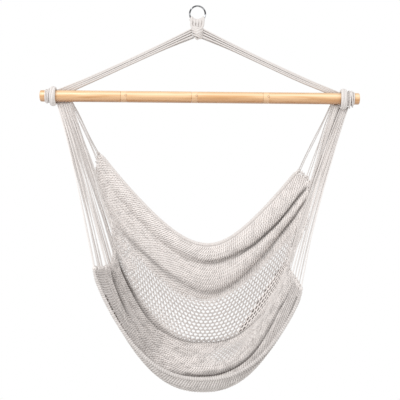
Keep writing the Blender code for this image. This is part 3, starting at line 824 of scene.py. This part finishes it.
def make_net():
    """Two strands a row wind to and fro and fill the net where it is drawn together. Where it is
    loose they run side by side, and links join one row to the next."""
    rows = np.linspace(0.0, 1.0, ROWS)
    across = np.stack([evenly(r, TURNS * STEPS + 1)[0] for r in rows])
    row = np.broadcast_to(rows[:, None], across.shape)
    share = np.linspace(0, 1, TURNS * STEPS + 1)
    place, _, up, out = net_frame(across, row)
    scale = row_scale(across, row)
    apart = scale / (ROWS - 1)
    dark_by = dark_holes(across, row)
    shaded = dark_by * (across > SHADED_EDGE)
    loose = np.maximum(opened(across, row, apart), 0.9 * dark_by)
    # The left edge is drawn up unevenly, so some of its gaps are pulled shut.
    turn_of = np.minimum((share * TURNS).astype(int), TURNS - 1)[None].repeat(ROWS, 0)
    pulled = eased(np.take_along_axis(rng.random((ROWS, TURNS)), turn_of, axis=1), 0.35, 0.55)
    loose = loose * (1 - eased(-across, 0.7, 0.78) * pulled)
    # Where each strand is on its way to and fro.
    wobble = 0.35 * np.sin(across * 9.1 + row * 31.0) + 0.3 * np.sin(across * 23.7 - row * 57.0)
    odd = np.arange(ROWS)[:, None] % 2
    phase = 2 * np.pi * TURNS * share[None] + np.pi * odd + wobble * 0.5
    phase = phase + 0.3 * rng.normal(size=(ROWS, 1)) * (1 - loose)
    rise = between(np.minimum(0.0048, 0.5 * apart), np.minimum(0.0012, 0.12 * apart), loose)
    deep = between(0.0022, 0.0008, loose)
    thin = (np.minimum(0.0018, 0.17 * apart) * (0.9 + 0.22 * rng.random((ROWS, 1)))
            * (1 - 0.3 * shaded))
    radius = between(np.minimum(0.0022, 0.001 + 0.16 * apart), thin, loose)
    rim = 1 - eased(np.minimum(row, 1 - row), 0.0, 0.02)
    rise = rise * (1 - 0.6 * rim)
    ply = np.minimum(0.001, 0.1 * apart) * loose * (1 - shaded)
    uneven = rng.random((ROWS, 2 * TURNS + 4)) ** 2
    strands = []
    for p, shift in ((phase, ply), (phase + np.pi * (1 - loose), -ply)):
        lift = -rise * np.cos(p) + shift
        back, dark = folded(across, np.clip(row - lift / scale, 0, 1))
        line = place + up * lift[..., None] + out * (deep * np.sin(p) - back)[..., None]
        # The folds' painted shade falls most on the sitter's side, and each stroke of cord is a
        # little different.
        front = 0.3 + 0.7 * eased(np.sin(p), -0.8, 0.0) * (1 - loose) + 0.7 * loose
        stroke = np.floor(p / np.pi).astype(int) % uneven.shape[1]
        rough = 0.2 + 0.14 * eased(row, 0.5, 0.56) * (1 - eased(row, 0.78, 0.84))
        mottle = 1 - rough * np.take_along_axis(uneven, stroke, axis=1) * (1 - loose)
        # Painted shade: the loose cords are greyer, less so in the rows of shaded gaps.
        loose_shade = 1 - 0.34 * loose * (1 - dark_by)
        strands.append((line, (1 - dark * front) * mottle * shade(across, row) * loose_shade))
    line, tone = strands[0]
    parts = []
    for word, low, high in BANDS:
        cords = Cords()
        for strand, toned in strands:
            cords.add(strand[low:high], radius[low:high], sides=5, tone=toned[low:high])
        for i in range(low, min(high, ROWS - 1)):
            at = np.arange(TURNS) * STEPS + (STEPS // 2 if i % 2 else 0)
            at = at[(loose[i, at] > 0.15) & (at > 2) & (at < TURNS * STEPS - 2)]
            if not len(at):
                continue
            top, end, here = line[i, at], line[i + 1, at], out[i, at] * 0.0012
            link = np.stack([top + here * 0.3, top * 0.67 + end * 0.33 + here,
                             top * 0.33 + end * 0.67 + here, end + here * 0.3], axis=1)
            thick = np.minimum(0.0021, 0.24 * apart[i, at]) * (1 - 0.3 * shaded[i, at])
            cords.add(link, thick[:, None] * np.array([0.9, 1.0, 1.0, 0.9]), sides=6,
                      tone=np.repeat(tone[i, at][:, None], 4, 1))
        parts.append(cords.build(f"net_{word}", None, "seat", "net"))
    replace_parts(parts[0], "seat_net")


def make_inner_layer():
    """The inner cords of the drawn-together net, which close the gaps between the outer ones: a
    sheet in painted shade, darker than the cords and darker still in folds and shaded gaps.
    """
    across, row = np.meshgrid(np.linspace(-0.995, 0.995, 181), np.linspace(0.004, 0.996, 121))
    place, _, _, out = net_frame(across, row)
    back, dark = folded(across, row)
    place = place - out * (back + 0.0004)[..., None]
    open_by = opened(across, row, row_scale(across, row) / (ROWS - 1))
    dark_by = dark_holes(across, row)
    count = across.size
    index = np.arange(count).reshape(across.shape)
    quads = np.stack([index[:-1, :-1], index[:-1, 1:], index[1:, 1:], index[1:, :-1]], -1)
    quads = quads.reshape(-1, 4)
    closed = ((open_by < 0.15) | (dark_by > 0.5)).reshape(-1)
    quads = quads[closed[quads].all(axis=1)]
    # Painted shade: both faces are darker than the cords, the front one more in folds and gaps.
    plain = 0.66 * shade(across, row)
    shaded = np.clip(plain * (1 - dark) * (1 - 0.88 * dark_by), 0.03, 1)
    front, behind = ((place + out * step).reshape(-1, 3) for step in (0.0006, -0.0006))
    # The two faces carry their own tone, and the rim between them closes the sheet.
    ends = np.concatenate([quads[:, [k, (k + 1) % 4]] for k in range(4)])
    _, first, times = np.unique(np.sort(ends, axis=1), axis=0, return_index=True,
                                return_counts=True)
    rim = ends[first[times == 1]]
    walls = np.stack([rim[:, 1], rim[:, 0], rim[:, 0] + count, rim[:, 1] + count], axis=-1)
    faces = np.vstack([quads, quads[:, ::-1] + count, walls])
    tones = np.concatenate([shaded.reshape(-1), plain.reshape(-1)])
    cords = Cords().add_faces(np.vstack([front, behind]), faces, tones)
    cords.build("net_inner_cords_painted_shade", None, "seat", "net")


# ---- strings, hems and edges

EDGE_OUT = 0.0052


def edge_frame(side, row):
    """The net's frame along one of its sides."""
    row = np.asarray(row, float)
    return net_frame(np.full(row.shape, float(side)), row)


def side_cord(side, row):
    """The middle of the cord down a side of the net."""
    place, along, _, _ = edge_frame(side, row)
    return place + along * side * EDGE_OUT


def make_edges():
    """The cord down each side, with the rows' end loops, which differ in size and lean."""
    rows = np.linspace(0.0, 1.0, 120)
    for side, word in SIDES:
        wave = 0.001 * np.sin(rows * 90)[:, None]
        cords = Cords().add(side_cord(side, rows) + wave, 0.0028, sides=10, tone=0.85)
        ends = np.linspace(0.004, 0.996, ROWS) + rng.uniform(-0.004, 0.004, ROWS)
        ends = np.clip(ends, 0, 1)
        _, along, up, out = edge_frame(side, ends)
        size = rng.uniform(0.004, 0.0062, (ROWS, 1))
        lean = rng.uniform(-0.6, 0.6, (ROWS, 1))
        middle = side_cord(side, ends) + along * side * rng.uniform(-0.002, 0.003, (ROWS, 1))
        t = np.linspace(0, 2 * math.pi, 17)[None, :, None]
        one = (unit(along + up * lean) * size)[:, None]
        two = (out * size * 0.9)[:, None]
        tone = rng.uniform(0.55, 0.95, (ROWS, 1))
        cords.add(middle[:, None] + one * np.cos(t) + two * np.sin(t), 0.0017, sides=6, tone=tone,
                  caps=False)
        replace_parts(cords.build(f"edge_{word}", smooth_cotton, "seat"), f"{word}_edge_cord")


def tapered(across):
    """How much of its size a hem keeps towards its ends."""
    return 1 - 0.6 * (1 - eased(1 - np.abs(across), 0.0, 0.03))


def make_hem(word, row, middle, coil, thread, pitch, tone):
    """The hem cord of the net's first or last row, with a thread wound round it."""
    columns, run = evenly(row, 300)
    place, _, up, out = net_frame(columns, np.full(columns.shape, row))
    core = place + up * middle - out * 0.001
    cords = Cords().add(core, (coil - 0.0002) * tapered(columns), sides=14, tone=tone - 0.1)
    turns = int(run / pitch)
    columns, _ = evenly(row, turns * 9)
    place, along, up, out = net_frame(columns, np.full(columns.shape, row))
    every = np.arange(0, len(columns), 20)
    unsteady = np.interp(np.arange(len(columns)), every, rng.uniform(-1.3, 1.3, len(every)))
    a = np.linspace(0, 2 * math.pi * turns, len(columns)) + unsteady
    size = coil * tapered(columns)
    lean = along * (0.0022 * np.sin(a) * np.cos(0.3))[:, None]
    thread_line = (place + up * (middle + size * np.cos(a))[:, None]
                   + out * (size * np.sin(a) - 0.001)[:, None] + lean)
    if word == "front":
        tone = tone + 0.01 + 0.14 * np.repeat(rng.random(turns), 9)[:len(columns)]
    cords.add(thread_line, thread, sides=6, tone=tone)
    if word == "front":
        # Painted shade: short dark tubes between the whipping and the net stand for gaps where its
        # shaded inside shows.
        for spot in np.cumsum(rng.uniform(0.012, 0.026, 26)) - 0.93:
            at, _, up, out = net_frame(np.array([spot, spot + 0.009]), np.array([row, row]))
            gap = at + up * np.array([[0.0048], [0.006]]) + out * 0.0058
            cords.add(gap, 0.002, sides=6, tone=0.03)
    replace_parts(cords.build(f"hem_{word}", smooth_cotton, "seat"), f"{word}_hem_cord")


def make_loose_ends():
    """Small knots on the corners of the net, and the frayed ends of their cords."""
    knots = Cords()
    for side, row, size in ((1, 0.004, 0.0055), (1, 0.1, 0.006), (1, 0.155, 0.0055),
                            (-1, 0.004, 0.0045), (-1, 0.99, 0.0045), (1, 0.985, 0.0045)):
        centre = side_cord(side, row)
        for k in range(3):
            tilt = 0.9 * k + row * 20
            one = np.array([math.cos(tilt), 0.3, math.sin(tilt)]) * size
            two = np.array([-math.sin(tilt) * 0.4, -1.0, math.cos(tilt) * 0.4]) * size
            knots.add(circle_of(centre, one, two, 25), 0.0019, sides=6, tone=0.85 - 0.12 * k,
                      caps=False)
    for side, row, way in ((1, 0.62, (1.0, -0.2, -0.15)), (1, 0.8, (0.9, -0.3, -0.5)),
                           (1, 0.95, (0.6, -0.3, -0.9)), (-1, 0.96, (-0.6, -0.3, -0.9)),
                           (1, 0.1, (0.8, -0.4, -0.3))):
        centre = side_cord(side, row)
        for _ in range(5):
            lean = unit(np.array(way) + rng.uniform(-0.45, 0.45, 3))
            bend = unit(np.array(way) + rng.uniform(-0.8, 0.8, 3))
            line = smooth_line([centre, centre + lean * 0.006,
                                centre + lean * 0.008 + bend * 0.006], 8)
            knots.add(line, 0.0006, sides=5, tone=0.9)
    knots.build("net_knots", smooth_cotton, "seat")


STRING = 0.0031
STRINGS, CORDS, STRING_PLACES = 44, 11, 330
STATIONS = {-1: (0.401, 0.4485), 1: (0.413, 0.4665)}  # the first and last string on the bar
# The rows that the strings are tied to, from the back. The back ones hang in pairs.
clumps = 0.02 * np.sin(np.linspace(0, 6 * math.pi, 34))
FEET = {
    -1: [0.0, 0.012, 0.035, 0.05, 0.13, 0.15, 0.27, 0.29, 0.38, 0.41,
         *(np.linspace(0.46, 0.995, 34) + clumps)],
    1: [0.0, 0.01, 0.06, 0.075, 0.11, 0.13, 0.16, 0.2, 0.3, 0.38, *np.linspace(0.44, 0.99, 34)],
}


def string_of(side, k):
    """One string, from the bar to the net's side: its places, its foot and its turn at the bar."""
    first, last = STATIONS[side]
    share = k / (STRINGS - 1)
    station = side * (first + (last - first) * share)
    on_eye = abs(station) > EYE_INNER[side] - 0.001
    out = BAR_RADIUS + (0.015 if on_eye else 0.0024)
    angle = math.pi + (0.66, 0.48, 0.3)[k % 3]
    start = along_bar(station, out, angle)
    outward = edge_frame(side, FEET[side][k])[3]
    foot = side_cord(side, FEET[side][k]) + outward * (-0.003, 0.0, 0.003)[k % 3]
    bow = -side * (0.006 if side < 0 else 0.011) * share
    places = []
    for t in (0.0, 0.08, 0.25, 0.5, 0.75, 0.93):
        p = start + (foot - start) * t
        p[0] += bow * 4 * t * (1 - t)
        p += np.array([0.0016, 0.002, 0]) * math.sin(5.1 * k + 7 * t) * 4 * t * (1 - t)
        places.append(p)
    return places, foot, along_bar(station, out + 0.001, angle + 0.12)


def make_strings():
    """Each cord runs down to the net's edge and up to the bar twice: 44 strings on a side."""
    for side, word in SIDES:
        made = []
        for n in range(CORDS):
            four = [string_of(side, k) for k in range(4 * n, 4 * n + 4)]
            points = []
            for down, rise in (four[:2], four[2:]):
                centre = (down[1] + rise[1]) / 2
                away = unit(centre - down[0][3])
                if points:
                    points.append((points[-1] + down[2]) / 2)
                points += [*down[0], down[1] + away * 0.0005, centre + away * 0.005,
                           rise[1] + away * 0.0005, *rise[0][::-1]]
            line = smooth_line(points, STRING_PLACES)
            run_of = np.arange(STRING_PLACES) * 4 // STRING_PLACES
            tone = 0.6 + 0.26 * ((run_of + n * 3) % 5) / 4
            cord = Cords().add(line, STRING / 2, sides=6, tone=tone)
            made.append(cord.build(f"fan_{word}_{n + 1}", smooth_cotton, "seat"))
        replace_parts(made[0], *[f"fan_string_{word}_{k:02d}" for k in range(1, CORDS + 1)])


make_strings()
make_net()
make_inner_layer()
make_edges()
make_hem("back", 0.0, 0.0016, 0.006, 0.0009, 0.007, 0.8)
# The front hem is darker, as painted shade where the lip turns down.
make_hem("front", 1.0, 0.001, 0.0044, 0.0016, 0.0066, 0.62)
make_loose_ends()

# ---- floor

FLOOR_RADIUS, FLOOR_HEIGHT, FLOOR_SIDES = 2.4, -1.75, 96
outline = [(FLOOR_RADIUS * math.cos(a), FLOOR_RADIUS * math.sin(a), FLOOR_HEIGHT)
           for a in np.linspace(0, 2 * math.pi, FLOOR_SIDES, endpoint=False)]
floor_mesh = bpy.data.meshes.new("floor")
floor_mesh.from_pydata(outline, [], [list(range(FLOOR_SIDES))])
floor_mesh.materials.append(Surface("pale_floor", (0.86, 0.86, 0.85), 0.9).material)
placed("floor", floor_mesh)
